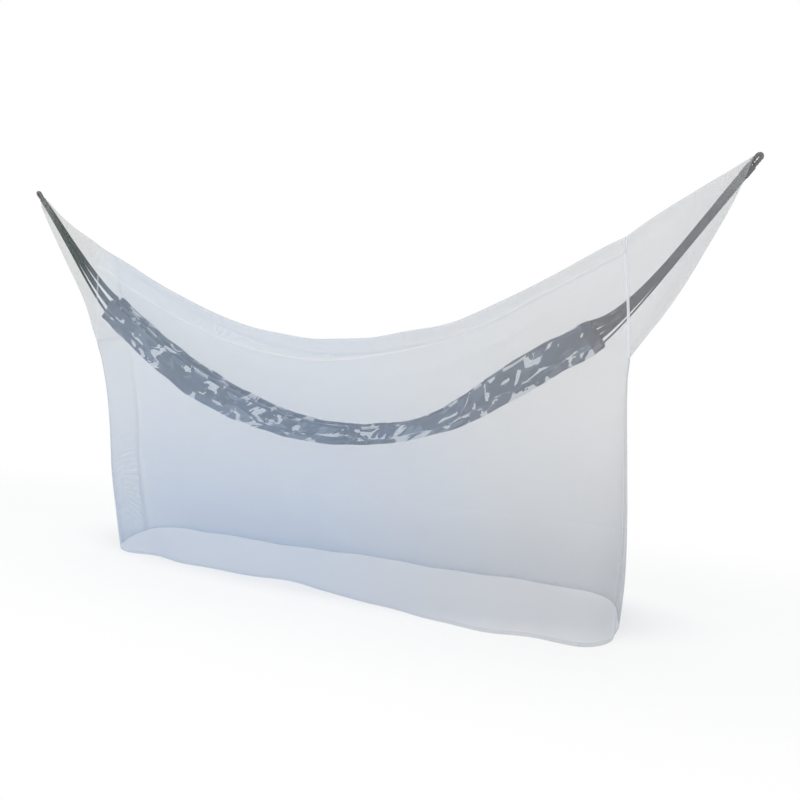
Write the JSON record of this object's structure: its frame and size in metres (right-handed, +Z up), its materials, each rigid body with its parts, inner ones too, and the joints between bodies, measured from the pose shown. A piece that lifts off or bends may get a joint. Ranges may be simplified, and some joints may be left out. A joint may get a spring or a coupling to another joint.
{
  "type": "hammock mosquito net with hammock",
  "caption": "Sheer tent of mosquito net hung over a gathered hammock, with a sleeve at each end that closes round the hammock's cords.",
  "frame": {"origin": "on the floor, below the middle of the whole object", "axes": "+X from the left eye to the right eye, +Y through the net from its front to its back, +Z up"},
  "size_m": [3.5254, 0.5302, 1.9521],
  "materials": {
    "net": "sheer knitted polyester net",
    "camouflage": "matt printed ripstop nylon",
    "cord": "matt braided cord"
  },
  "bodies": {
    "root": {"net_front_panel": "net", "net_back_panel": "net", "net_roof_strip": "net", "net_left_end_panel": "net", "net_right_end_panel": "net", "net_left_sleeve": "net", "net_right_sleeve": "net", "hammock_bed": "camouflage", "left_eye_loop": "cord", "left_eye_whipping": "cord", "right_eye_loop": "cord", "right_eye_whipping": "cord", "left_clew_cord_1": "cord", "left_clew_cord_2": "cord", "left_clew_cord_3": "cord", "left_clew_cord_4": "cord", "left_clew_cord_5": "cord", "right_clew_cord_1": "cord", "right_clew_cord_2": "cord", "right_clew_cord_3": "cord", "right_clew_cord_4": "cord", "right_clew_cord_5": "cord"}
  },
  "joints": []
}
